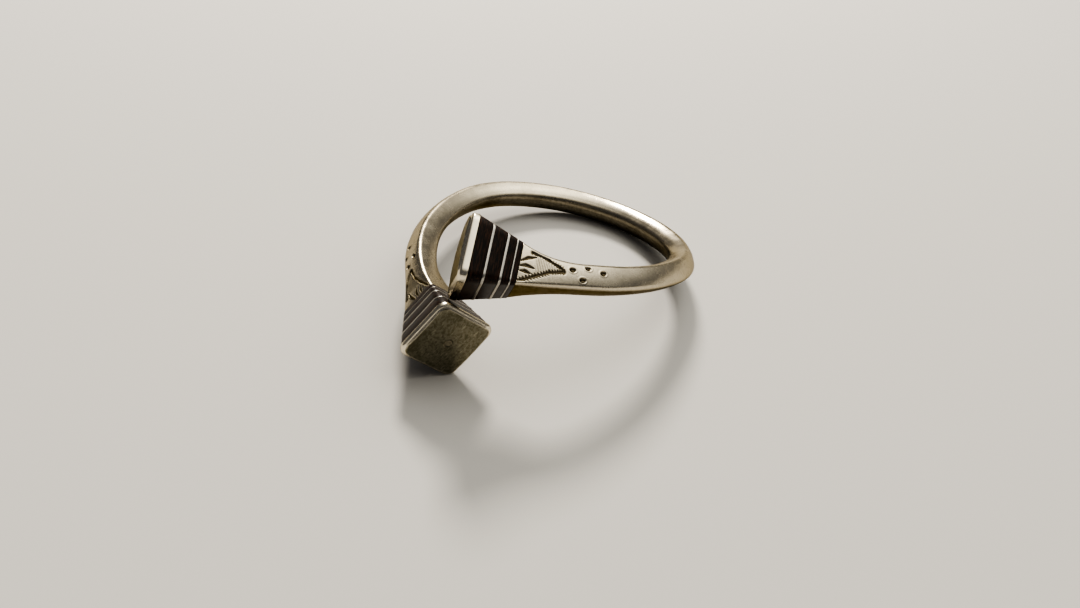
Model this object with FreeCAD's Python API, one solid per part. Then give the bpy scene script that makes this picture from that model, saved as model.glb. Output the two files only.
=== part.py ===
import FreeCAD, Part
import math
import os

# Open bypass finger ring. A forged silver band runs round the finger and its two ends pass each
# other. Each end carries a square terminal: a stack of ebony and thin silver plates that widens
# like an upside-down pyramid, closed by a thick silver cap, all threaded on one silver pin.
# Millimetres, +Z up. The ring lies as it comes to rest on a table: on the back of the band and
# on one corner of the lower cap. The origin is the bottom centre of its bounding box.

V = FreeCAD.Vector

# Band: the back is a plain arc round the finger, and a flatter shoulder follows at each end.
FINGER_RADIUS = 8.75
BAND_THICKNESS = 2.0
BAND_WIDTH = 2.0
BACK_HALF_ANGLE = 87.5
SHOULDER_RADIUS = 18.5
HALF_LENGTH = 32.2
BYPASS_DROP = 2.56
BYPASS_EASE = 0.24
END_DROOP = 0.71
SECTION_ROLL = -35.0
SECTION_ROLL_CHANGE = 11.0
BAND_CORNER = 0.42

# Shoulder flare: where the band spreads to meet its terminal.
FLARE_LENGTH = 5.0
FLARE_POWER = 2.4
FLARE_FAR_SIDE = 0.97
FLARE_NEAR_SIDE = 0.27

# Terminal: plates numbered from the cap inwards, so plate 1 is the widest. The last plate, next to
# the band, fills what is left of the height.
BASE_HALF = 1.62
TOP_HALF = 2.50
CAP_HALF = 2.52
RIM_HEIGHT = 3.92
CAP_DOME = 0.28
CAP_CORNER = 0.72
BASE_CORNER = 0.32
PLATES = [
    ("ebony_plate_1", 1.01),
    ("silver_plate_1", 0.18),
    ("ebony_plate_2", 0.95),
    ("silver_plate_2", 0.18),
    ("ebony_plate_3", 0.55),
    ("silver_plate_3", 0.11),
]
LAST_PLATE = "ebony_plate_4"

# Each terminal leans a little from the line of its shoulder, in degrees: in towards the finger,
# and sideways across the band. The two caps differ in thickness at the edge.
TERMINALS = {
    "upper": {"end": -1, "lean_in": 5.0, "lean_side": -8.5, "cap_edge": 0.58},
    "lower": {"end": 1, "lean_in": -1.0, "lean_side": 0.0, "cap_edge": 0.36},
}

# Pin through each stack: seated in the shoulder and peened flush with the cap.
PIN_RADIUS = 0.30
PIN_SEAT = 1.6

# Resting attitude: turns in degrees about X and then Y, from the finger axis standing upright.
REST_ROLL = 5.67
REST_PITCH = 13.61

BACK_RADIUS = FINGER_RADIUS + BAND_THICKNESS / 2
BACK_HALF_LENGTH = BACK_RADIUS * math.radians(BACK_HALF_ANGLE)
SECTION_COUNT = 29


def heading(s):
    """Direction that the band's outside faces at arc length s, seen along the finger."""
    beyond = max(abs(s) - BACK_HALF_LENGTH, 0.0)
    angle = min(abs(s), BACK_HALF_LENGTH) / BACK_RADIUS + beyond / SHOULDER_RADIUS
    return math.copysign(angle, s)


def path_point(s):
    """Middle of the band at arc length s from the middle of its back."""
    turn = abs(heading(s))
    back_turn = min(turn, math.radians(BACK_HALF_ANGLE))
    x = BACK_RADIUS * math.cos(back_turn) + SHOULDER_RADIUS * (math.cos(turn) - math.cos(back_turn))
    y = BACK_RADIUS * math.sin(back_turn) + SHOULDER_RADIUS * (math.sin(turn) - math.sin(back_turn))
    u = s / HALF_LENGTH
    z = -BYPASS_DROP * ((1 + BYPASS_EASE) * u - BYPASS_EASE * u ** 3) - END_DROOP * u ** 4
    return V(x, math.copysign(y, s), z)


def unit(vector):
    return vector * (1 / vector.Length)


def turned(vector, axis, degrees):
    return FreeCAD.Rotation(axis, degrees).multVec(vector)


def band_frame(s):
    """Middle, direction along the band, outward direction and sideways direction at s."""
    step = 0.01
    along = unit(path_point(s + step) - path_point(s - step))
    out = V(math.cos(heading(s)), math.sin(heading(s)), 0)
    out = unit(out - along * out.dot(along))
    out = turned(out, along, SECTION_ROLL + SECTION_ROLL_CHANGE * s / HALF_LENGTH)
    return path_point(s), along, out, out.cross(along)


def flare(s):
    """0 along the band, rising to 1 where the shoulder meets its terminal."""
    reach = max(abs(s) - (HALF_LENGTH - FLARE_LENGTH), 0.0) / FLARE_LENGTH
    return reach ** FLARE_POWER


def terminal_frame(spec):
    """Middle of the base, axis, outward direction and sideways direction of a terminal."""
    middle, along, out, _ = band_frame(spec["end"] * HALF_LENGTH)
    axis = along * spec["end"]
    side = axis.cross(out)
    lean = FreeCAD.Rotation(out, spec["lean_side"]).multiply(FreeCAD.Rotation(side, -spec["lean_in"]))
    axis, out_leaned, side_leaned = (lean.multVec(v) for v in (axis, out, side))
    shift = side * ((FLARE_FAR_SIDE - FLARE_NEAR_SIDE) / 2)
    middle = middle + out * (BAND_THICKNESS / 2 - BASE_HALF) + shift
    return middle, axis, out_leaned, side_leaned


def rounded_rectangle(middle, out, side, low_out, high_out, low_side, high_side, corner):
    """Closed wire with four straight sides and four corner arcs in the plane of out and side."""
    def place(a, b):
        return middle + out * a + side * b

    diagonal = corner * (1 - math.sqrt(0.5))
    corners = [
        ((high_out, low_side + corner), (high_out, high_side - corner),
         (high_out - diagonal, high_side - diagonal), (high_out - corner, high_side)),
        ((high_out - corner, high_side), (low_out + corner, high_side),
         (low_out + diagonal, high_side - diagonal), (low_out, high_side - corner)),
        ((low_out, high_side - corner), (low_out, low_side + corner),
         (low_out + diagonal, low_side + diagonal), (low_out + corner, low_side)),
        ((low_out + corner, low_side), (high_out - corner, low_side),
         (high_out - diagonal, low_side + diagonal), (high_out, low_side + corner)),
    ]
    edges = []
    for start, end, mid, finish in corners:
        edges.append(Part.LineSegment(place(*start), place(*end)).toShape())
        edges.append(Part.Arc(place(*end), place(*mid), place(*finish)).toShape())
    return Part.Wire(edges)


def square(frame, height, half, corner):
    """Rounded square of a terminal, at a height above its base."""
    middle, axis, out, side = frame
    return rounded_rectangle(middle + axis * height, out, side, -half, half, -half, half, corner)


def band_section(s):
    middle, along, out, side = band_frame(s)
    half_width = BAND_WIDTH / 2
    spread = flare(s)
    far = half_width + FLARE_FAR_SIDE * spread
    near = half_width + FLARE_NEAR_SIDE * spread
    if s > 0:
        side = side * -1
    low = -BAND_THICKNESS / 2 - (2 * BASE_HALF - BAND_THICKNESS) * spread
    corner = BAND_CORNER + (BASE_CORNER - BAND_CORNER) * spread
    return rounded_rectangle(middle, out, side, low, BAND_THICKNESS / 2, -near, far, corner)


def pin_body(frame, low, high):
    middle, axis, _, _ = frame
    return Part.makeCylinder(PIN_RADIUS, high - low, middle + axis * low, axis)


def make_band(frames):
    spacing = 2 * HALF_LENGTH / (SECTION_COUNT - 1)
    inner = [band_section(-HALF_LENGTH + spacing * i) for i in range(1, SECTION_COUNT - 1)]
    first = square(frames["upper"], 0.0, BASE_HALF, BASE_CORNER)
    last = square(frames["lower"], 0.0, BASE_HALF, BASE_CORNER)
    band = Part.makeLoft([first] + inner + [last], True, False)
    for frame in frames.values():
        band = band.cut(pin_body(frame, -PIN_SEAT, 0.5))
    return band


def stack_square(frame, height, stack_height):
    """Outline of the tapering stack at a height above its base."""
    share = height / stack_height
    half = BASE_HALF + (TOP_HALF - BASE_HALF) * share
    corner = BASE_CORNER + (CAP_CORNER - BASE_CORNER) * share
    return square(frame, height, half, corner)


def make_plate(frame, low, high, stack_height):
    outlines = [stack_square(frame, height, stack_height) for height in (low, high)]
    plate = Part.makeLoft(outlines, True, True)
    return plate.cut(pin_body(frame, low - 0.5, high + 0.5))


def make_cap(frame, foot):
    """Square cap with rounded corners and a shallow spherical face."""
    middle, axis, _, _ = frame
    top = RIM_HEIGHT + CAP_DOME
    block = Part.Face(square(frame, foot, CAP_HALF, CAP_CORNER)).extrude(axis * (top - foot + 0.2))
    dome_radius = (CAP_HALF ** 2 + CAP_DOME ** 2) / (2 * CAP_DOME)
    ball = Part.makeSphere(dome_radius, middle + axis * (top - dome_radius))
    cap = block.common(ball)
    return cap.cut(pin_body(frame, foot - 0.5, top + 0.5))


def build():
    frames = {name: terminal_frame(spec) for name, spec in TERMINALS.items()}
    pieces = {"band": make_band(frames)}
    for name, frame in frames.items():
        stack_height = RIM_HEIGHT - TERMINALS[name]["cap_edge"]
        high = stack_height
        for plate, thickness in PLATES:
            pieces[f"{name}_{plate}"] = make_plate(frame, high - thickness, high, stack_height)
            high -= thickness
        pieces[f"{name}_{LAST_PLATE}"] = make_plate(frame, 0.0, high, stack_height)
        pieces[f"{name}_cap"] = make_cap(frame, stack_height)
        pieces[f"{name}_pin"] = pin_body(frame, -PIN_SEAT, RIM_HEIGHT + CAP_DOME)
    return pieces


def at_rest(shape):
    """Copy of a shape turned from the finger axis's frame to the resting attitude."""
    roll = FreeCAD.Rotation(V(1, 0, 0), REST_ROLL)
    pitch = FreeCAD.Rotation(V(0, 1, 0), REST_PITCH)
    piece = shape.Solids[0].copy()
    piece.Placement = FreeCAD.Placement(V(), pitch.multiply(roll)).multiply(piece.Placement)
    return piece


def main():
    os.makedirs("parts", exist_ok=True)
    pieces = {name: at_rest(shape) for name, shape in build().items()}
    box = Part.makeCompound(list(pieces.values())).optimalBoundingBox(True, False)
    middle = box.Center
    for name, shape in pieces.items():
        shape.translate(V(-middle.x, -middle.y, -box.ZMin))
        shape.exportStep(f"parts/{name}.step")
        print(name, "valid" if shape.isValid() else "INVALID", round(shape.Volume, 2), "mm3")
    print("size", round(box.XLength, 2), round(box.YLength, 2), round(box.ZLength, 2))


main()
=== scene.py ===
import math

import bpy
import numpy as np
from mathutils import Matrix, Vector


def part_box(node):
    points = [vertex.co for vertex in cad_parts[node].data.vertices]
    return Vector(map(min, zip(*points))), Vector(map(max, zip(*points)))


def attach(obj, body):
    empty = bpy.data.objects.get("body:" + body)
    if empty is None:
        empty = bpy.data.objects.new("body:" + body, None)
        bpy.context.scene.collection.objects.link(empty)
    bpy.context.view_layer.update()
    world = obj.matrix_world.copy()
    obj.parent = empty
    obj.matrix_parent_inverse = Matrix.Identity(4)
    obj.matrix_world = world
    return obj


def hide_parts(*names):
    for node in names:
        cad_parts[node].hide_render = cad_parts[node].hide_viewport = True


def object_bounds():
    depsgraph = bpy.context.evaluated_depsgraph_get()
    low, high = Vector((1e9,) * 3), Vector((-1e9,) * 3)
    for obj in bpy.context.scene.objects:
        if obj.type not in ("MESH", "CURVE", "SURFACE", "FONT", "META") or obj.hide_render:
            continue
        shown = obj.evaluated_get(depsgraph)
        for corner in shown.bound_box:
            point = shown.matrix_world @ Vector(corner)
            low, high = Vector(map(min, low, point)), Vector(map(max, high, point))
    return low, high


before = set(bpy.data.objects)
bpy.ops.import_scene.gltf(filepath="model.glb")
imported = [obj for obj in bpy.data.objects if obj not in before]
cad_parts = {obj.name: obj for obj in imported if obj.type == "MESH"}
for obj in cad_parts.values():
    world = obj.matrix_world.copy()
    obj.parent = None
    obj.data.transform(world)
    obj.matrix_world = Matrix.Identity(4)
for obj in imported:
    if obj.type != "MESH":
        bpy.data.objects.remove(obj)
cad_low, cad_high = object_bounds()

# Open bypass finger ring: a forged silver band with engraved shoulders, and two square terminals
# of ebony and silver plates under silver caps. Lengths are in millimetres and the finger axis
# stands upright, until make_object turns each piece to the resting attitude and scales it to metres.

MM = 0.001

# The band's line and section, as in the CAD model.
FINGER_RADIUS = 8.75
BAND_THICKNESS = 2.0
BAND_WIDTH = 2.0
BACK_HALF_ANGLE = math.radians(87.5)
SHOULDER_RADIUS = 18.5
HALF_LENGTH = 32.2
BYPASS_DROP = 2.56
BYPASS_EASE = 0.24
END_DROOP = 0.71
SECTION_ROLL = math.radians(-35.0)
SECTION_ROLL_CHANGE = math.radians(11.0)
BAND_CORNER = 0.42
FLARE_LENGTH = 5.0
FLARE_POWER = 2.4
FLARE_FAR_SIDE = 0.97
FLARE_NEAR_SIDE = 0.27
BACK_RADIUS = FINGER_RADIUS + BAND_THICKNESS / 2
BACK_HALF_LENGTH = BACK_RADIUS * BACK_HALF_ANGLE

# Terminals and resting attitude, as in the CAD model.
BASE_HALF = 1.62
TOP_HALF = 2.50
CAP_HALF = 2.52
RIM_HEIGHT = 3.92
CAP_DOME = 0.28
CAP_CORNER = 0.72
BASE_CORNER = 0.32
PLATES = [
    ("ebony_plate_1", 1.01),
    ("silver_plate_1", 0.18),
    ("ebony_plate_2", 0.95),
    ("silver_plate_2", 0.18),
    ("ebony_plate_3", 0.55),
    ("silver_plate_3", 0.11),
]
LAST_PLATE = "ebony_plate_4"
PLATES_HEIGHT = sum(thickness for _, thickness in PLATES)
PIN_RADIUS = 0.30
PIN_SEAT = 1.6
TERMINALS = {
    "upper": {"end": -1, "lean_in": 5.0, "lean_side": -8.5, "cap_edge": 0.58},
    "lower": {"end": 1, "lean_in": -1.0, "lean_side": 0.0, "cap_edge": 0.36},
}
REST_ROLL = math.radians(5.67)
REST_PITCH = math.radians(13.61)

# Wear and handwork on the band: softer corners round its back, a slight crown on every face, and
# swells left by the hammer as (height, size, seed). The shoulder takes up its terminal's lean over
# the last LEAN_LENGTH. The scratches count once round the section as SCRATCH_SPAN.
WORN_BACK_CORNER = 0.66
WORN_BACK_LENGTH = 25.0
FACE_CROWN = 0.045
FORGED_SWELLS = [(0.012, 4.2, 11), (0.002, 1.3, 12)]
FORGED_FROM_END = 0.4
LEAN_LENGTH = 2.3
SCRATCH_SPAN = 9.0

# Wear and handwork on the terminals.
PLATE_EDGE = 0.03
PLATE_EDGE_SHARE = 0.3
EBONY_PROUD = -0.006
SILVER_PROUD = 0.012
FILED_OFF = 0.006
FILED_SWELL = 0.010
FILED_SIZE = 1.6
CAP_EDGE = 0.20
CAP_FOOT_EDGE = 0.04
PLANISHED_SWELL = 0.006
PLANISHED_SIZE = 1.5
CAP_SIDE_SWELL = 0.012
CAP_SIDE_SIZE = 2.4
PIN_FIT = 0.985
PEENED_SWELL = 0.006
PEENED_SIZE = 0.3

# Tarnish and painted shade, from 0 for clean to 1 for dark. Below 0 a face stays bright under its
# mottling. The darkening underneath and inside is painted shade, and the two gains say how soon it
# sets in as the surface turns downwards or inwards.
FULL_TARNISH_DEPTH = 0.05
PAINTED_SHADE_UNDERNEATH = 0.92
UNDERNEATH_GAIN = 1.8
PAINTED_SHADE_INSIDE = 0.80
INSIDE_GAIN = 1.2
TARNISH_SHOULDER = 0.15
TARNISHED_SHOULDER_LENGTH = 9.0
# The cap faces are darkened by painted shade, a dark reflection painted on; their rubbed rims stay
# clean.
CAP_FACE_PAINTED_SHADE = 0.90
CAP_EDGE_TARNISH = -0.35
CAP_RUBBED_WIDTH = 0.09
CAP_RUBBED_FADE = 0.20
# The pins carry the same painted shade as the cap faces.
PIN_PAINTED_SHADE = 0.70

# Fineness of the meshes.
ENGRAVED_LENGTH = 7.0
FINE_STEP = 0.042
COARSE_STEP = 0.22
FACE_COLUMNS = 84
CORNER_COLUMNS = 7
SIDE_COLUMNS = 14
AROUND = 160
EDGE_STEPS = 4
CAP_EDGE_STEPS = 8
CAP_RINGS = 26


# ---------------------------------------------------------------- the band's line

def unit(v):
    return v / np.linalg.norm(v, axis=-1, keepdims=True)


def turned(v, axis, angle):
    """Vectors turned about unit axes by angles in radians, row by row."""
    angle = np.asarray(angle, float)[..., None]
    along = axis * (v * axis).sum(-1, keepdims=True)
    return along + (v - along) * np.cos(angle) + np.cross(axis, v) * np.sin(angle)


def heading(s):
    """Direction that the band's outside faces at each arc length s, seen along the finger."""
    beyond = np.maximum(np.abs(s) - BACK_HALF_LENGTH, 0.0)
    turn = np.minimum(np.abs(s), BACK_HALF_LENGTH) / BACK_RADIUS + beyond / SHOULDER_RADIUS
    return np.where(s < 0, -turn, turn)


def path_point(s):
    """Middle of the band at each arc length s from the middle of its back."""
    turn = np.abs(heading(s))
    back = np.minimum(turn, BACK_HALF_ANGLE)
    x = BACK_RADIUS * np.cos(back) + SHOULDER_RADIUS * (np.cos(turn) - np.cos(back))
    y = BACK_RADIUS * np.sin(back) + SHOULDER_RADIUS * (np.sin(turn) - np.sin(back))
    u = s / HALF_LENGTH
    z = -BYPASS_DROP * ((1 + BYPASS_EASE) * u - BYPASS_EASE * u ** 3) - END_DROOP * u ** 4
    return np.stack([x, np.where(s < 0, -y, y), z], -1)


def band_axes(s):
    """Middle, direction along the band, outward direction and sideways direction at each s."""
    step = 0.01
    along = unit(path_point(s + step) - path_point(s - step))
    turn = heading(s)
    out = np.stack([np.cos(turn), np.sin(turn), np.zeros_like(turn)], -1)
    out = unit(out - along * (out * along).sum(-1, keepdims=True))
    out = turned(out, along, SECTION_ROLL + SECTION_ROLL_CHANGE * s / HALF_LENGTH)
    return path_point(s), along, out, np.cross(out, along)


def lean(vectors, out, side, spec, share):
    """Vectors leaned by a share of a terminal's lean: in towards the finger, then sideways."""
    vectors = turned(vectors, side, -math.radians(spec["lean_in"]) * share)
    return turned(vectors, out, math.radians(spec["lean_side"]) * share)


def terminal_axes(spec):
    """Middle of the base, axis, outward direction and sideways direction of a terminal."""
    middle, along, out, _ = (v[0] for v in band_axes(np.array([spec["end"] * HALF_LENGTH])))
    axis = along * spec["end"]
    side = np.cross(axis, out)
    shift = side * ((FLARE_FAR_SIDE - FLARE_NEAR_SIDE) / 2)
    middle = middle + out * (BAND_THICKNESS / 2 - BASE_HALF) + shift
    return (middle, *(lean(v, out, side, spec, 1.0) for v in (axis, out, side)))


def turn_to_rest(points):
    roll = Matrix.Rotation(REST_ROLL, 3, "X")
    pitch = Matrix.Rotation(REST_PITCH, 3, "Y")
    return points @ np.array(pitch @ roll).T


# ---------------------------------------------------------------- meshes

def undulation(points, size, seed, waves=7):
    """Smooth hand-made unevenness between about -1 and 1, with swells of the given size."""
    rng = np.random.default_rng(seed)
    total = np.zeros(len(points))
    for _ in range(waves):
        direction = unit(rng.normal(size=3))
        length = size * rng.uniform(0.7, 1.6)
        total += np.sin(points @ direction * (2 * math.pi / length) + rng.uniform(0, 2 * math.pi))
    return total / math.sqrt(waves * 2)


def grid_faces(rows, columns, wrap_rows=False):
    """Quads between rows of points, each row a closed loop."""
    last = rows if wrap_rows else rows - 1
    r = np.repeat(np.arange(last), columns)
    c = np.tile(np.arange(columns), last)
    r2 = (r + 1) % rows
    c2 = (c + 1) % columns
    return np.stack([r * columns + c, r * columns + c2, r2 * columns + c2, r2 * columns + c], -1)


def fan_faces(start, columns, centre, flip):
    """Triangles from the closed loop of points that begins at start to a centre point."""
    c = np.arange(columns)
    c2 = (c + 1) % columns
    middle = np.full(columns, centre)
    order = (start + c2, start + c, middle) if flip else (start + c, start + c2, middle)
    return np.stack(order, -1)


def make_object(name, points, faces, attributes, material):
    """A smooth mesh object in the row frame from points in the ring's own frame."""
    mesh = bpy.data.meshes.new(name)
    placed = (turn_to_rest(points) + REST_OFFSET) * MM
    mesh.from_pydata(placed.tolist(), [], [face for group in faces for face in group.tolist()])
    for key, values in attributes.items():
        kind, field = ("FLOAT", "value") if values.ndim == 1 else ("FLOAT_VECTOR", "vector")
        layer = mesh.attributes.new(key, kind, "POINT")
        layer.data.foreach_set(field, values.astype(np.float32).ravel())
    mesh.shade_smooth()
    mesh.materials.append(material)
    piece = bpy.data.objects.new(name, mesh)
    bpy.context.scene.collection.objects.link(piece)
    return piece


def hand_over(piece, node):
    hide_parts(node)
    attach(piece, "root")


# ---------------------------------------------------------------- engraving

# Each shoulder carries a chevron that points away from its terminal, three leaf strokes inside its
# mouth, faint hatching between the arms and four punched dots beyond the tip. Positions are
# (distance from the terminal, distance across the face towards the flared side).
CHEVRON_ARMS = [
    {"points": [(0.80, 1.22), (1.30, 1.08), (1.75, 0.93), (2.20, 0.68), (2.98, 0.26)], "ticks": 0.55},
    {"points": [(2.90, 0.10), (1.95, -0.04), (1.20, -0.36), (0.55, -0.70), (0.06, -1.02)], "ticks": 1.0},
]
GROOVE_HALF_WIDTH = 0.13
GROOVE_DEPTH = 0.11
GROOVE_WOBBLE = 0.18
GROOVE_WOBBLE_RATE = 7.3
TICK_SPACING = 0.19
TICK_REACH = 0.13

LEAF_STROKES = [
    [(0.05, 0.50), (0.50, 0.78), (1.02, 0.90)],
    [(0.00, 0.14), (0.42, 0.23), (0.92, 0.08)],
    [(0.08, -0.22), (0.36, -0.20), (0.72, -0.32)],
]
LEAF_HALF_WIDTH = 0.15
LEAF_TIP_SHARE = 0.35
LEAF_DEPTH = 0.09

PUNCHED_DOTS = [(3.66, 0.34), (4.92, 0.56), (6.12, 0.24), (4.38, -0.34)]
DOT_RADIUS = 0.215
DOT_STRETCH = 1.3
DOT_DEPTH = 0.14
DOT_RIM_RADIUS = DOT_RADIUS * 1.12
DOT_RIM_WIDTH = 0.05
DOT_RIM_HEIGHT = 0.014

# The hatched field: its two long edges as (distances from the terminal, distances across), where
# it starts and ends, and how softly it fades at each.
HATCH_FAR_EDGE = ([0.3, 1.7, 2.95], [1.20, 0.80, 0.20])
HATCH_NEAR_EDGE = ([0.1, 1.2, 2.85], [-0.85, -0.22, 0.14])
HATCH_EDGE_FADE = 0.12
HATCH_START, HATCH_START_FADE = 0.9, 0.2
HATCH_END, HATCH_END_FADE = 2.6, 0.3
HATCH_SPACING = 0.17
HATCH_SLANT = 0.25
HATCH_DEPTH = 0.020


def stroke_distance(x, y, points):
    """Distance to a polyline, how far along it the nearest place is, and its whole length."""
    best = np.full(x.shape, 1e9)
    place = np.zeros(x.shape)
    walked = 0.0
    for (ax, ay), (bx, by) in zip(points[:-1], points[1:]):
        length = math.hypot(bx - ax, by - ay)
        t = np.clip(((x - ax) * (bx - ax) + (y - ay) * (by - ay)) / length ** 2, 0, 1)
        d = np.hypot(x - ax - t * (bx - ax), y - ay - t * (by - ay))
        nearer = d < best
        best = np.where(nearer, d, best)
        place = np.where(nearer, walked + t * length, place)
        walked += length
    return best, place, walked


def rising(distance, length):
    """0 up to a border, rising evenly to 1 over a length beyond it."""
    return np.clip(distance / length, 0, 1)


def hollow(distance, half_width):
    """1 in the middle of a cut, falling smoothly to 0 at its half width."""
    return np.clip(1 - (distance / half_width) ** 2, 0, 1) ** 1.3


def chevron_depth(x, y):
    """Two grooves of uneven width with short toothed ticks across them."""
    depth = np.zeros(x.shape)
    for arm in CHEVRON_ARMS:
        distance, place, _ = stroke_distance(x, y, arm["points"])
        wobble = 1 + GROOVE_WOBBLE * np.sin(place * GROOVE_WOBBLE_RATE)
        depth = np.maximum(depth, GROOVE_DEPTH * hollow(distance, GROOVE_HALF_WIDTH * wobble))
        comb = np.clip(np.cos(place * 2 * math.pi / TICK_SPACING), 0, 1) ** 1.5
        reach = hollow(distance, GROOVE_HALF_WIDTH + TICK_REACH)
        depth = np.maximum(depth, arm["ticks"] * GROOVE_DEPTH * comb * reach)
    return depth


def leaf_depth(x, y):
    """Strokes that swell in the middle and thin out at both tips."""
    depth = np.zeros(x.shape)
    for points in LEAF_STROKES:
        distance, place, length = stroke_distance(x, y, points)
        swell = np.sin(math.pi * np.clip(place / length, 0, 1))
        belly = LEAF_TIP_SHARE + (1 - LEAF_TIP_SHARE) * swell
        depth = np.maximum(depth, LEAF_DEPTH * hollow(distance, LEAF_HALF_WIDTH * belly))
    return depth


def dot_depth(x, y):
    """Punched pits, each with the low rim of metal that the punch pushes up."""
    depth = np.zeros(x.shape)
    for dx, dy in PUNCHED_DOTS:
        distance = np.hypot((x - dx) / DOT_STRETCH, y - dy)
        depth += DOT_DEPTH * hollow(distance, DOT_RADIUS)
        depth -= DOT_RIM_HEIGHT * np.exp(-((distance - DOT_RIM_RADIUS) / DOT_RIM_WIDTH) ** 2)
    return depth


def hatch_depth(x, y):
    """Faint cross lines between the chevron's arms."""
    inside = rising(np.interp(x, *HATCH_FAR_EDGE) - y, HATCH_EDGE_FADE)
    inside = inside * rising(y - np.interp(x, *HATCH_NEAR_EDGE), HATCH_EDGE_FADE)
    inside *= rising(x - HATCH_START, HATCH_START_FADE) * rising(HATCH_END - x, HATCH_END_FADE)
    lines = 0.5 + 0.5 * np.cos((x + HATCH_SLANT * y) * 2 * math.pi / HATCH_SPACING)
    return HATCH_DEPTH * inside * lines


def engraving(x, y):
    """Depth cut below the shoulder's face; negative where metal is pushed up."""
    cuts = np.maximum.reduce([chevron_depth(x, y), leaf_depth(x, y), hatch_depth(x, y)])
    return cuts + dot_depth(x, y)


# ---------------------------------------------------------------- the band

# The section is walked from its outer face round to the far, inner and near sides, with a corner
# after each.
SECTION_SIDES = [
    ("outer", FACE_COLUMNS),
    ("far", SIDE_COLUMNS),
    ("inner", SIDE_COLUMNS),
    ("near", SIDE_COLUMNS),
]


def band_stations():
    """Arc lengths of the section rows: close together under the engraving, wider elsewhere."""
    fine = np.arange(0, ENGRAVED_LENGTH, FINE_STEP)
    plain = HALF_LENGTH - ENGRAVED_LENGTH
    coarse = np.linspace(-plain, plain, int(2 * plain / COARSE_STEP))
    return np.concatenate([-HALF_LENGTH + fine, coarse, (HALF_LENGTH - fine)[::-1]])


def section_layout():
    """For each column of the section: its side, whether on the corner after it, and how far along."""
    layout = []
    for side, count in SECTION_SIDES:
        layout += [(side, False, i / count) for i in range(count)]
        layout += [(side, True, i / CORNER_COLUMNS) for i in range(CORNER_COLUMNS)]
    return layout


def section_limits(s):
    """Inner, outer, near and far limits of the section at s, and its corner radius."""
    spread = (max(FLARE_LENGTH - HALF_LENGTH + abs(s), 0.0) / FLARE_LENGTH) ** FLARE_POWER
    low = -BAND_THICKNESS / 2 - (2 * BASE_HALF - BAND_THICKNESS) * spread
    near = BAND_WIDTH / 2 + FLARE_NEAR_SIDE * spread
    far = BAND_WIDTH / 2 + FLARE_FAR_SIDE * spread
    worn = max(1 - abs(s) / WORN_BACK_LENGTH, 0.0) ** 0.5
    corner = BAND_CORNER + (WORN_BACK_CORNER - BAND_CORNER) * worn
    return low, BAND_THICKNESS / 2, near, far, corner + (BASE_CORNER - BAND_CORNER) * spread


def section_points(low, high, near, far, corner):
    """Places (out, side) of every column on faces with a slight crown, and their outward normals."""
    sides = {
        "outer": ((high, -near + corner), (high, far - corner), 0.0),
        "far": ((high - corner, far), (low + corner, far), math.pi / 2),
        "inner": ((low, far - corner), (low, -near + corner), math.pi),
        "near": ((low + corner, -near), (high - corner, -near), 1.5 * math.pi),
    }
    places, normals = [], []
    for side, on_corner, share in section_layout():
        start, end, angle = sides[side]
        if on_corner:
            centre = (end[0] - corner * math.cos(angle), end[1] - corner * math.sin(angle))
            angle += share * math.pi / 2
            inset = FACE_CROWN
            place = (centre[0] + corner * math.cos(angle), centre[1] + corner * math.sin(angle))
        else:
            inset = FACE_CROWN * (2 * share - 1) ** 2
            place = (start[0] + (end[0] - start[0]) * share, start[1] + (end[1] - start[1]) * share)
        places.append((place[0] - inset * math.cos(angle), place[1] - inset * math.sin(angle)))
        normals.append((math.cos(angle), math.sin(angle)))
    return np.array(places), np.array(normals)


def mirrored_columns():
    """Column order seen from the other side, so that both halves of the band share one winding."""
    places, _ = section_points(-1.0, 1.0, 1.0, 1.0, BAND_CORNER)
    mirrored = places * np.array([1.0, -1.0])
    return np.array([int(np.argmin(((places - p) ** 2).sum(1))) for p in mirrored])


def band_rows():
    """Stations of the plain band, and per station a row of points, outward normals and coordinates.

    The coordinates are the distance from the band's end, the distance across the outer face
    towards the flared side, and how squarely the surface faces outwards.
    """
    stations = band_stations()
    middles, _, outs, sides = band_axes(stations)
    mirrored = mirrored_columns()
    rows, normals, coordinates = [], [], []
    for s, middle, out, side in zip(stations, middles, outs, sides):
        low, high, near, far, corner = section_limits(s)
        places, directions = section_points(low, high, near, far, corner)
        across = side
        if s >= 0:
            across = -side
            places, directions = places[mirrored], directions[mirrored]
        from_end = HALF_LENGTH - abs(s)
        share = max(1 - from_end / LEAN_LENGTH, 0.0)
        share = share * share * (3 - 2 * share)
        spec = TERMINALS["upper" if s < 0 else "lower"]
        out_here, across_here = (lean(v, out, across, spec, share) for v in (out, across))
        mid = np.array([(low + high) / 2, (far - near) / 2])
        centre = middle + out * mid[0] + across * mid[1]
        offsets = places - mid
        rows.append(centre + offsets[:, :1] * out_here + offsets[:, 1:] * across_here)
        normals.append(directions[:, :1] * out_here + directions[:, 1:] * across_here)
        ends = np.full(len(places), from_end)
        coordinates.append(np.column_stack([ends, places[:, 1], directions[:, 0]]))
    return stations, np.array(rows), np.array(normals), np.array(coordinates)


def rest_offset():
    """Shift, in millimetres, that brings the plain band onto the CAD band's box."""
    _, rows, _, _ = band_rows()
    points = turn_to_rest(rows.reshape(-1, 3))
    low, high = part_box("band")
    cad_middle = np.array((low + high) / 2) / MM
    return cad_middle - (points.min(0) + points.max(0)) / 2


REST_OFFSET = rest_offset()


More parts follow.
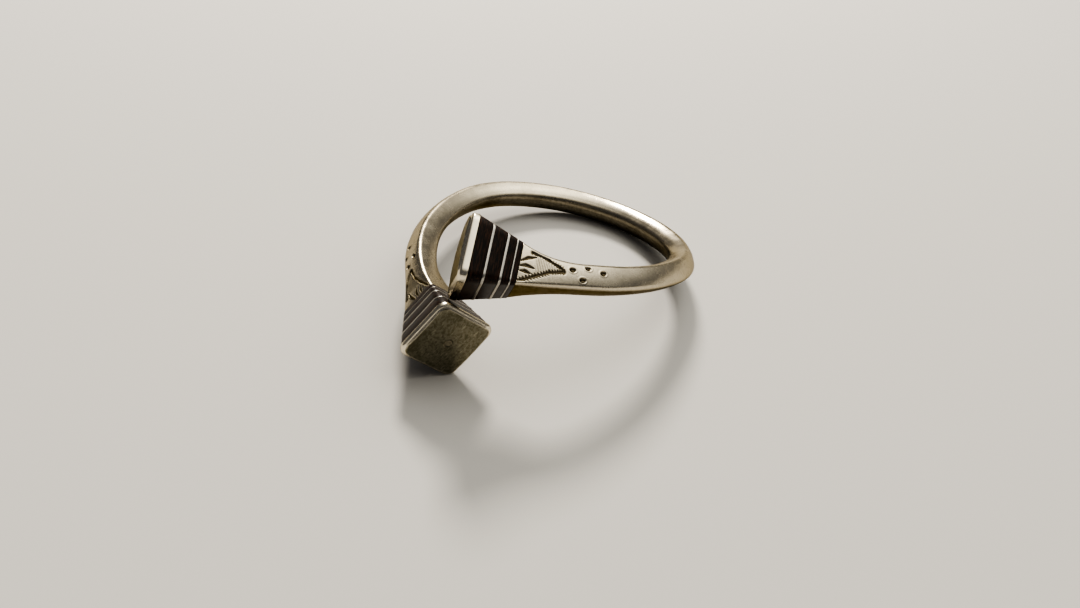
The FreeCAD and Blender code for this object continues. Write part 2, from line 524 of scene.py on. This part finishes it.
def band_tarnish_and_shade(cut, from_end, facing, upward):
    """Tarnish fills the cuts and lies by the terminals; inside and underneath the darkening is painted
    shade.
    """
    in_cuts = np.clip(cut / FULL_TARNISH_DEPTH, 0, 1) ** 0.8
    # Painted shade: faces turned downwards in the resting attitude, and faces turned inwards, are
    # darkened.
    shade_underneath = PAINTED_SHADE_UNDERNEATH * np.clip(-upward * UNDERNEATH_GAIN, 0, 1)
    inside = PAINTED_SHADE_INSIDE * np.clip(-facing * INSIDE_GAIN, 0, 1)
    by_terminal = np.clip(1 - from_end / TARNISHED_SHOULDER_LENGTH, 0, 1)
    shoulder = TARNISH_SHOULDER * np.clip(facing, 0, 1) * by_terminal
    return np.clip(in_cuts + np.maximum(shade_underneath, inside) + shoulder, 0, 1)


def make_band(material):
    """The forged band as one closed sweep, engraved on the outer face of both shoulders."""
    stations, rows, normals, coordinates = band_rows()
    count, columns, _ = rows.shape
    points = rows.reshape(-1, 3)
    outward = normals.reshape(-1, 3)
    from_end, across, facing = coordinates.reshape(-1, 3).T
    on_outer_face = facing > 0.999
    cut = np.where(on_outer_face, engraving(from_end, across), 0.0)
    forged = sum(height * undulation(points, size, seed) for height, size, seed in FORGED_SWELLS)
    away = rising(from_end, FORGED_FROM_END)
    points = points + outward * (forged * away - cut)[:, None]
    ends = [points[:columns].mean(0), points[-columns:].mean(0)]
    points = np.vstack([points, ends])
    faces = [
        grid_faces(count, columns)[:, ::-1],
        fan_faces(0, columns, len(points) - 2, False),
        fan_faces((count - 1) * columns, columns, len(points) - 1, True),
    ]
    flow_around = np.tile(np.linspace(0, SCRATCH_SPAN, columns), count)
    flow = np.column_stack([np.repeat(stations, columns), flow_around, np.zeros(count * columns)])
    upward = turn_to_rest(outward)[:, 2]
    attributes = {
        "flow": np.vstack([flow, flow[:2]]),
        "tarnish_and_painted_shade": np.append(band_tarnish_and_shade(cut, from_end, facing, upward), [0, 0]),
    }
    piece = make_object("engraved_band", points, faces, attributes, material)
    hand_over(piece, "band")


# ---------------------------------------------------------------- plates, caps and pins

def square_loop(half, corner):
    """Closed rounded square in two dimensions, evenly walked."""
    straight = 2 * (half - corner)
    arc = corner * math.pi / 2
    walk = (np.arange(AROUND) + 0.5) / AROUND * 4 * (straight + arc)
    quarter = np.floor(walk / (straight + arc))
    left = walk - quarter * (straight + arc)
    angle = np.clip((left - straight) / max(corner, 1e-6), 0, math.pi / 2)
    x = half - corner + corner * np.cos(angle)
    y = -half + corner + np.minimum(left, straight) + corner * np.sin(angle)
    turn = quarter * math.pi / 2
    return np.column_stack([x * np.cos(turn) - y * np.sin(turn), x * np.sin(turn) + y * np.cos(turn)])


def round_loop(radius):
    """A square loop that is nearly all corner; its straight sides are kept just above nothing."""
    return square_loop(radius, radius * 0.9999)


def stack_outline(height, stack_height):
    """Half side and corner radius of the tapering stack at a height above its base."""
    share = height / stack_height
    return BASE_HALF + (TOP_HALF - BASE_HALF) * share, BASE_CORNER + (CAP_CORNER - BASE_CORNER) * share


def edge_arc(radius, count):
    """(inset, drop) pairs round an edge, from the side face to the flat face."""
    angles = np.linspace(0, math.pi / 2, count)
    return [(radius * (1 - math.cos(a)), radius * (1 - math.sin(a))) for a in angles]


def foot_arc(low, radius, count=EDGE_STEPS):
    """(inset, height) pairs round a lower edge, from the flat face to the side face."""
    return [(inset, low + drop) for inset, drop in reversed(edge_arc(radius, count))]


def head_arc(high, radius, count=EDGE_STEPS):
    """(inset, height) pairs round an upper edge, from the side face to the flat face."""
    return [(inset, high - drop) for inset, drop in edge_arc(radius, count)]


def place_loops(loops, axes):
    """Local (out, side, height) points of all loops, and the same points placed by the axes."""
    middle, axis, out, side = axes
    local = np.concatenate(loops)
    return local, middle + local[:, :1] * out + local[:, 1:2] * side + local[:, 2:] * axis


def pierced_block(profile, axes):
    """Local points, placed points and faces of a pierced block of (half, corner, height) loops."""
    hole = round_loop(PIN_RADIUS)
    loops = [np.column_stack([hole, np.full(AROUND, profile[0][2])])]
    for half, corner, height in profile:
        loops.append(np.column_stack([square_loop(half, corner), np.full(AROUND, height)]))
    loops.append(np.column_stack([hole, np.full(AROUND, profile[-1][2])]))
    return (*place_loops(loops, axes), [grid_faces(len(loops), AROUND, wrap_rows=True)])


def make_plate(name, axes, low, high, stack_height, material, seed):
    """One pierced plate with softened edges and the slight unevenness of hand filing."""
    ebony = "ebony" in name
    proud = EBONY_PROUD if ebony else SILVER_PROUD
    edge = min(PLATE_EDGE, (high - low) * PLATE_EDGE_SHARE)
    profile = []
    for inset, height in foot_arc(low, edge) + head_arc(high, edge):
        half, corner = stack_outline(height, stack_height)
        profile.append((half + proud - inset, corner, height))
    local, points, faces = pierced_block(profile, axes)
    radial = unit(local[:, :1] * axes[2] + local[:, 1:2] * axes[3])
    outer = np.hypot(local[:, 0], local[:, 1]) > PIN_RADIUS * 2
    uneven = FILED_SWELL * undulation(points, FILED_SIZE, seed) - FILED_OFF
    points = points + radial * (uneven * outer)[:, None]
    piece = make_object(f"{name}_worked", points, faces, {"flow": local}, material)
    hand_over(piece, name)


def cap_profile(foot):
    """Loops of the cap: foot edge, upright side, soft upper edge and rings in to the pin's hole."""
    upright = RIM_HEIGHT - CAP_EDGE - foot - CAP_FOOT_EDGE
    turns = foot_arc(foot, CAP_FOOT_EDGE)
    turns += [(0.0, foot + CAP_FOOT_EDGE + upright * share) for share in (0.33, 0.66)]
    turns += head_arc(RIM_HEIGHT, CAP_EDGE, CAP_EDGE_STEPS)
    profile = [(CAP_HALF - inset, CAP_CORNER, height) for inset, height in turns]
    flat = CAP_HALF - CAP_EDGE
    for ring in range(1, CAP_RINGS):
        share = ring / CAP_RINGS
        half = flat + (PIN_RADIUS - flat) * share
        roundest = half * 0.999
        corner = min(CAP_CORNER + (roundest - CAP_CORNER) * share, roundest)
        profile.append((half, corner, RIM_HEIGHT))
    return profile


def reach_in(local):
    """Distance in from the cap's outline, in millimetres, with nearly square contours."""
    return CAP_HALF - (local[:, 0] ** 12 + local[:, 1] ** 12) ** (1 / 12)


def make_cap(terminal, axes, foot, material, seed):
    """Cap with rounded corners, a soft edge and a low, slightly planished dome."""
    local, points, faces = pierced_block(cap_profile(foot), axes)
    reach = np.hypot(local[:, 0], local[:, 1]) / (CAP_HALF * math.sqrt(2))
    on_face = local[:, 2] > RIM_HEIGHT - 1e-6
    dome = CAP_DOME * np.clip(1 - reach ** 2, 0, 1) * on_face
    planished = PLANISHED_SWELL * undulation(points, PLANISHED_SIZE, seed) * on_face
    near_side = np.clip(reach * 2 - 0.9, 0, 1)
    sides = CAP_SIDE_SWELL * undulation(points, CAP_SIDE_SIZE, seed + 1) * near_side
    radial = unit(local[:, :1] * axes[2] + local[:, 1:2] * axes[3])
    points = points + axes[1] * (dome + planished)[:, None] + radial * sides[:, None]
    # Painted shade: the cap's face is darkened as a painted dark reflection, while the rubbed rim stays
    # bright.
    inner = rising(reach_in(local) - CAP_RUBBED_WIDTH, CAP_RUBBED_FADE)
    tarnish_and_shade = CAP_FACE_PAINTED_SHADE * inner + CAP_EDGE_TARNISH * (1 - inner)
    attributes = {"flow": local, "tarnish_and_painted_shade": np.where(on_face, tarnish_and_shade, CAP_EDGE_TARNISH)}
    piece = make_object(f"{terminal}_cap_planished", points, faces, attributes, material)
    hand_over(piece, f"{terminal}_cap")


def make_pin(terminal, axes, material, seed):
    """Round pin with a peened head that fills its hole in the cap to a hairline."""
    top = RIM_HEIGHT + CAP_DOME
    heights_and_radius_shares = [
        (-PIN_SEAT, 0.6),
        (-PIN_SEAT + 0.05, 1.0),
        (top - 0.05, 1.0),
        (top - 0.02, 0.93),
        (top - 0.004, 0.78),
        (top, 0.5),
        (top - 0.012, 0.25),
    ]
    loops = []
    for height, share in heights_and_radius_shares:
        ring = round_loop(PIN_RADIUS * PIN_FIT * share)
        loops.append(np.column_stack([ring, np.full(AROUND, height)]))
    local, points = place_loops(loops, axes)
    peened = PEENED_SWELL * undulation(points, PEENED_SIZE, seed) * (local[:, 2] > top - 0.03)
    points = points + axes[1] * peened[:, None]
    ends = [points[:AROUND].mean(0), points[-AROUND:].mean(0)]
    points = np.vstack([points, ends])
    faces = [
        grid_faces(len(loops), AROUND),
        fan_faces(0, AROUND, len(points) - 2, True),
        fan_faces((len(loops) - 1) * AROUND, AROUND, len(points) - 1, False),
    ]
    # The pin is darkened by painted shade to match its cap's face.
    attributes = {"flow": np.vstack([local, local[:2]]), "tarnish_and_painted_shade": np.full(len(points), PIN_PAINTED_SHADE)}
    piece = make_object(f"{terminal}_pin_peened", points, faces, attributes, material)
    hand_over(piece, f"{terminal}_pin")


# ---------------------------------------------------------------- materials

# Colour at glancing angles: tarnished silver stays dark there, and the cleaner plates less so.
TARNISHED_EDGE_TINT = (0.42, 0.385, 0.32)
CLEAN_EDGE_TINT = (0.64, 0.62, 0.58)


def new_material(name):
    material = bpy.data.materials.new(name)
    material.use_nodes = True
    tree = material.node_tree
    return material, tree, tree.nodes["Principled BSDF"]


def attribute(tree, name, output):
    node = tree.nodes.new("ShaderNodeAttribute")
    node.attribute_name = name
    return node.outputs[output]


def stretched(tree, vector, scale):
    node = tree.nodes.new("ShaderNodeMapping")
    node.inputs["Scale"].default_value = scale
    tree.links.new(vector, node.inputs["Vector"])
    return node.outputs["Vector"]


def noise(tree, vector, scale, detail=4.0, roughness=0.55):
    node = tree.nodes.new("ShaderNodeTexNoise")
    node.inputs["Scale"].default_value = scale
    node.inputs["Detail"].default_value = detail
    node.inputs["Roughness"].default_value = roughness
    tree.links.new(vector, node.inputs["Vector"])
    return node.outputs["Fac"]


def ramp(tree, value, low, high, out_low=0.0, out_high=1.0):
    """Even change from out_low to out_high while the value goes from low to high."""
    node = tree.nodes.new("ShaderNodeMapRange")
    node.inputs["From Min"].default_value = low
    node.inputs["From Max"].default_value = high
    node.inputs["To Min"].default_value = out_low
    node.inputs["To Max"].default_value = out_high
    tree.links.new(value, node.inputs["Value"])
    return node.outputs["Result"]


def math_node(tree, operation, a, b):
    node = tree.nodes.new("ShaderNodeMath")
    node.operation = operation
    for socket, value in zip(node.inputs, (a, b)):
        if isinstance(value, (int, float)):
            socket.default_value = value
        else:
            tree.links.new(value, socket)
    return node.outputs[0]


def mix_colour(tree, factor, a, b):
    node = tree.nodes.new("ShaderNodeMix")
    node.data_type = "RGBA"
    tree.links.new(factor, node.inputs["Factor"])
    for socket, value in ((node.inputs["A"], a), (node.inputs["B"], b)):
        if isinstance(value, tuple):
            socket.default_value = (*value, 1.0)
        else:
            tree.links.new(value, socket)
    return node.outputs["Result"]


def bump(tree, height, distance, strength, normal=None):
    node = tree.nodes.new("ShaderNodeBump")
    node.inputs["Distance"].default_value = distance
    node.inputs["Strength"].default_value = strength
    tree.links.new(height, node.inputs["Height"])
    if normal is not None:
        tree.links.new(normal, node.inputs["Normal"])
    return node.outputs["Normal"]


def silver(name, clean, tarnish_and_shade, rough, scratches, edge_tint=TARNISHED_EDGE_TINT):
    """Worn silver: warm metal, mottled tarnishing, darkened cuts, fine scratches and small pits.

    The "tarnish_and_painted_shade" attribute says where the metal is tarnished and where shade is
    painted; "flow" runs along the scratches.
    """
    material, tree, shader = new_material(name)
    place = tree.nodes.new("ShaderNodeTexCoord").outputs["Object"]
    flow = attribute(tree, "flow", "Vector")
    lines = noise(tree, stretched(tree, flow, scratches), scale=1.0, detail=4.0, roughness=0.7)
    blotches = noise(tree, place, scale=330.0, detail=6.0, roughness=0.62)
    grains = noise(tree, place, scale=4600.0, detail=4.0, roughness=0.7)
    mottling = math_node(
        tree, "ADD",
        ramp(tree, blotches, 0.48, 0.80, out_high=0.30),
        ramp(tree, grains, 0.46, 0.80, out_high=0.24))
    rubbed = ramp(tree, lines, 0.56, 0.74, out_high=0.26)
    # The attribute adds painted shade to the tarnish: underneath and inside the band, on the cap faces
    # and pins.
    darkening = math_node(tree, "ADD", attribute(tree, "tarnish_and_painted_shade", "Fac"), mottling)
    darkening = math_node(tree, "SUBTRACT", darkening, rubbed)
    darkening = math_node(tree, "MAXIMUM", math_node(tree, "MINIMUM", darkening, 1.0), 0.0)
    tree.links.new(mix_colour(tree, darkening, clean, tarnish_and_shade), shader.inputs["Base Color"])
    shader.inputs["Metallic"].default_value = 1.0
    shader.inputs["Specular Tint"].default_value = (*edge_tint, 1.0)
    worn = ramp(tree, noise(tree, place, scale=900.0, roughness=0.6), 0.3, 0.75, *rough)
    rougher = math_node(tree, "MULTIPLY", darkening, 0.10)
    tree.links.new(math_node(tree, "ADD", worn, rougher), shader.inputs["Roughness"])
    pits = ramp(tree, noise(tree, place, scale=5200.0, detail=2.0), 0.68, 0.76, 1.0, 0.0)
    normal = bump(tree, lines, distance=0.008 * MM, strength=0.45)
    normal = bump(tree, pits, distance=0.010 * MM, strength=0.35, normal=normal)
    tree.links.new(normal, shader.inputs["Normal"])
    return material


def ebony():
    """Near-black polished wood with dark brown streaks and fine open pores."""
    material, tree, shader = new_material("ebony")
    flow = attribute(tree, "flow", "Vector")
    streaks = noise(tree, stretched(tree, flow, (10.0, 1.2, 10.0)), scale=1.0, detail=5.0, roughness=0.6)
    pores = noise(tree, stretched(tree, flow, (36.0, 3.2, 36.0)), scale=1.0, detail=2.0, roughness=0.5)
    streak_mask = ramp(tree, streaks, 0.44, 0.74)
    pore_mask = ramp(tree, pores, 0.60, 0.70)
    colour = mix_colour(tree, streak_mask, (0.004, 0.003, 0.0025), (0.050, 0.023, 0.013))
    colour = mix_colour(tree, pore_mask, colour, (0.002, 0.0015, 0.0015))
    tree.links.new(colour, shader.inputs["Base Color"])
    tree.links.new(ramp(tree, streaks, 0.3, 0.8, 0.34, 0.52), shader.inputs["Roughness"])
    shader.inputs["Specular IOR Level"].default_value = 0.08
    normal = bump(tree, pore_mask, distance=0.02 * MM, strength=-0.6)
    tree.links.new(normal, shader.inputs["Normal"])
    return material


MATERIALS = {
    "band": silver(
        "silver_band", clean=(0.63, 0.565, 0.435), tarnish_and_shade=(0.075, 0.060, 0.034),
        rough=(0.19, 0.31), scratches=(1.4, 24.0, 1.0)),
    "cap": silver(
        "silver_caps", clean=(0.80, 0.73, 0.58), tarnish_and_shade=(0.085, 0.078, 0.048),
        rough=(0.18, 0.29), scratches=(9.0, 1.6, 1.0)),
    "plate": silver(
        "silver_plates", clean=(0.44, 0.42, 0.385), tarnish_and_shade=(0.14, 0.125, 0.10),
        rough=(0.26, 0.38), scratches=(3.0, 3.0, 22.0), edge_tint=CLEAN_EDGE_TINT),
    "pin": silver(
        "silver_pins", clean=(0.40, 0.36, 0.27), tarnish_and_shade=(0.07, 0.06, 0.035),
        rough=(0.20, 0.32), scratches=(12.0, 12.0, 4.0)),
    "ebony": ebony(),
}


# ---------------------------------------------------------------- the ring

FIRST_TERMINAL_SEED = 100


def build_ring():
    make_band(MATERIALS["band"])
    seed = FIRST_TERMINAL_SEED
    for terminal, spec in TERMINALS.items():
        axes = terminal_axes(spec)
        stack_height = RIM_HEIGHT - spec["cap_edge"]
        high = stack_height
        for plate, thickness in PLATES + [(LAST_PLATE, stack_height - PLATES_HEIGHT)]:
            material = MATERIALS["ebony" if "ebony" in plate else "plate"]
            make_plate(f"{terminal}_{plate}", axes, high - thickness, high, stack_height, material, seed)
            high -= thickness
            seed += 1
        make_cap(terminal, axes, stack_height, MATERIALS["cap"], seed)
        make_pin(terminal, axes, MATERIALS["pin"], seed + 2)
        seed += 3


build_ring()


# ---------------------------------------------------------------- floor, light and camera

FLOOR_SIZE = 3.0
FLOOR_COLOUR = (0.52, 0.505, 0.48)
FLOOR_ROUGHNESS = 0.85

# The dim room has one broad soft glow overhead. The camera sees a plain pale backdrop instead.
ROOM_COLOUR = (0.085, 0.085, 0.09)
GLOW_COLOUR = (4.0, 3.85, 3.45)
GLOW_DIRECTION = (0.42, -0.20, 0.88)
GLOW_SPREAD = (0.15, 1.0)
GLOW_FALLOFF = 6.0
BACKDROP_COLOUR = (0.52, 0.505, 0.485)

KEY_DIRECTION = (0.64, 0.44, 0.62)
KEY_DISTANCE = 320 * MM
KEY_SIZE = 75 * MM
KEY_POWER = 1.7
KEY_COLOUR = (1.0, 0.93, 0.82)

CAMERA_AIM = Vector((0.976, -0.244, -1.442)) * MM
CAMERA_AZIMUTH = math.radians(-65.3)
CAMERA_ELEVATION = math.radians(35.22)
CAMERA_ROLL = math.radians(7.12)
CAMERA_DISTANCE = 82.5 * MM
CAMERA_SENSOR = 36.0
CAMERA_LENS = 100 / 3


def make_floor():
    bpy.ops.mesh.primitive_plane_add(size=FLOOR_SIZE, location=(0, 0, 0))
    floor = bpy.context.object
    floor.name = "floor"
    material, _, shader = new_material("floor")
    shader.inputs["Base Color"].default_value = (*FLOOR_COLOUR, 1.0)
    shader.inputs["Roughness"].default_value = FLOOR_ROUGHNESS
    floor.data.materials.append(material)


def make_world():
    world = bpy.data.worlds.new("studio")
    bpy.context.scene.world = world
    world.use_nodes = True
    tree = world.node_tree
    background = tree.nodes["Background"]
    place = tree.nodes.new("ShaderNodeTexCoord").outputs["Generated"]
    towards = tree.nodes.new("ShaderNodeVectorMath")
    towards.operation = "DOT_PRODUCT"
    towards.inputs[1].default_value = Vector(GLOW_DIRECTION).normalized()
    tree.links.new(place, towards.inputs[0])
    glow = ramp(tree, towards.outputs["Value"], *GLOW_SPREAD)
    glow = math_node(tree, "POWER", glow, GLOW_FALLOFF)
    room = mix_colour(tree, glow, ROOM_COLOUR, GLOW_COLOUR)
    seen = tree.nodes.new("ShaderNodeLightPath").outputs["Is Camera Ray"]
    tree.links.new(mix_colour(tree, seen, room, BACKDROP_COLOUR), background.inputs["Color"])
    background.inputs["Strength"].default_value = 1.0


def make_key_light():
    """One soft, warm, round light aimed at the ring's middle."""
    data = bpy.data.lights.new("key", "AREA")
    data.shape = "DISK"
    data.size = KEY_SIZE
    data.energy = KEY_POWER
    data.color = KEY_COLOUR
    light = bpy.data.objects.new("key", data)
    bpy.context.scene.collection.objects.link(light)
    towards = Vector(KEY_DIRECTION).normalized()
    light.location = (cad_low + cad_high) / 2 + towards * KEY_DISTANCE
    light.rotation_euler = towards.to_track_quat("Z", "Y").to_euler()


def make_camera():
    data = bpy.data.cameras.new("camera")
    data.sensor_width = CAMERA_SENSOR
    data.lens = CAMERA_LENS
    data.clip_start = 0.002
    data.clip_end = 10.0
    camera = bpy.data.objects.new("camera", data)
    bpy.context.scene.collection.objects.link(camera)
    flat = math.cos(CAMERA_ELEVATION)
    back = Vector((
        math.sin(CAMERA_AZIMUTH) * flat,
        -math.cos(CAMERA_AZIMUTH) * flat,
        math.sin(CAMERA_ELEVATION)))
    right = Vector((0, 0, 1)).cross(back).normalized()
    up = back.cross(right)
    rolled_right = right * math.cos(CAMERA_ROLL) + up * math.sin(CAMERA_ROLL)
    rolled_up = up * math.cos(CAMERA_ROLL) - right * math.sin(CAMERA_ROLL)
    axes = Matrix((rolled_right, rolled_up, back)).transposed().to_4x4()
    camera.matrix_world = Matrix.Translation(CAMERA_AIM + back * CAMERA_DISTANCE) @ axes
    bpy.context.scene.camera = camera


make_floor()
make_world()
make_key_light()
make_camera()
bpy.context.scene.view_settings.look = "AgX - Medium High Contrast"
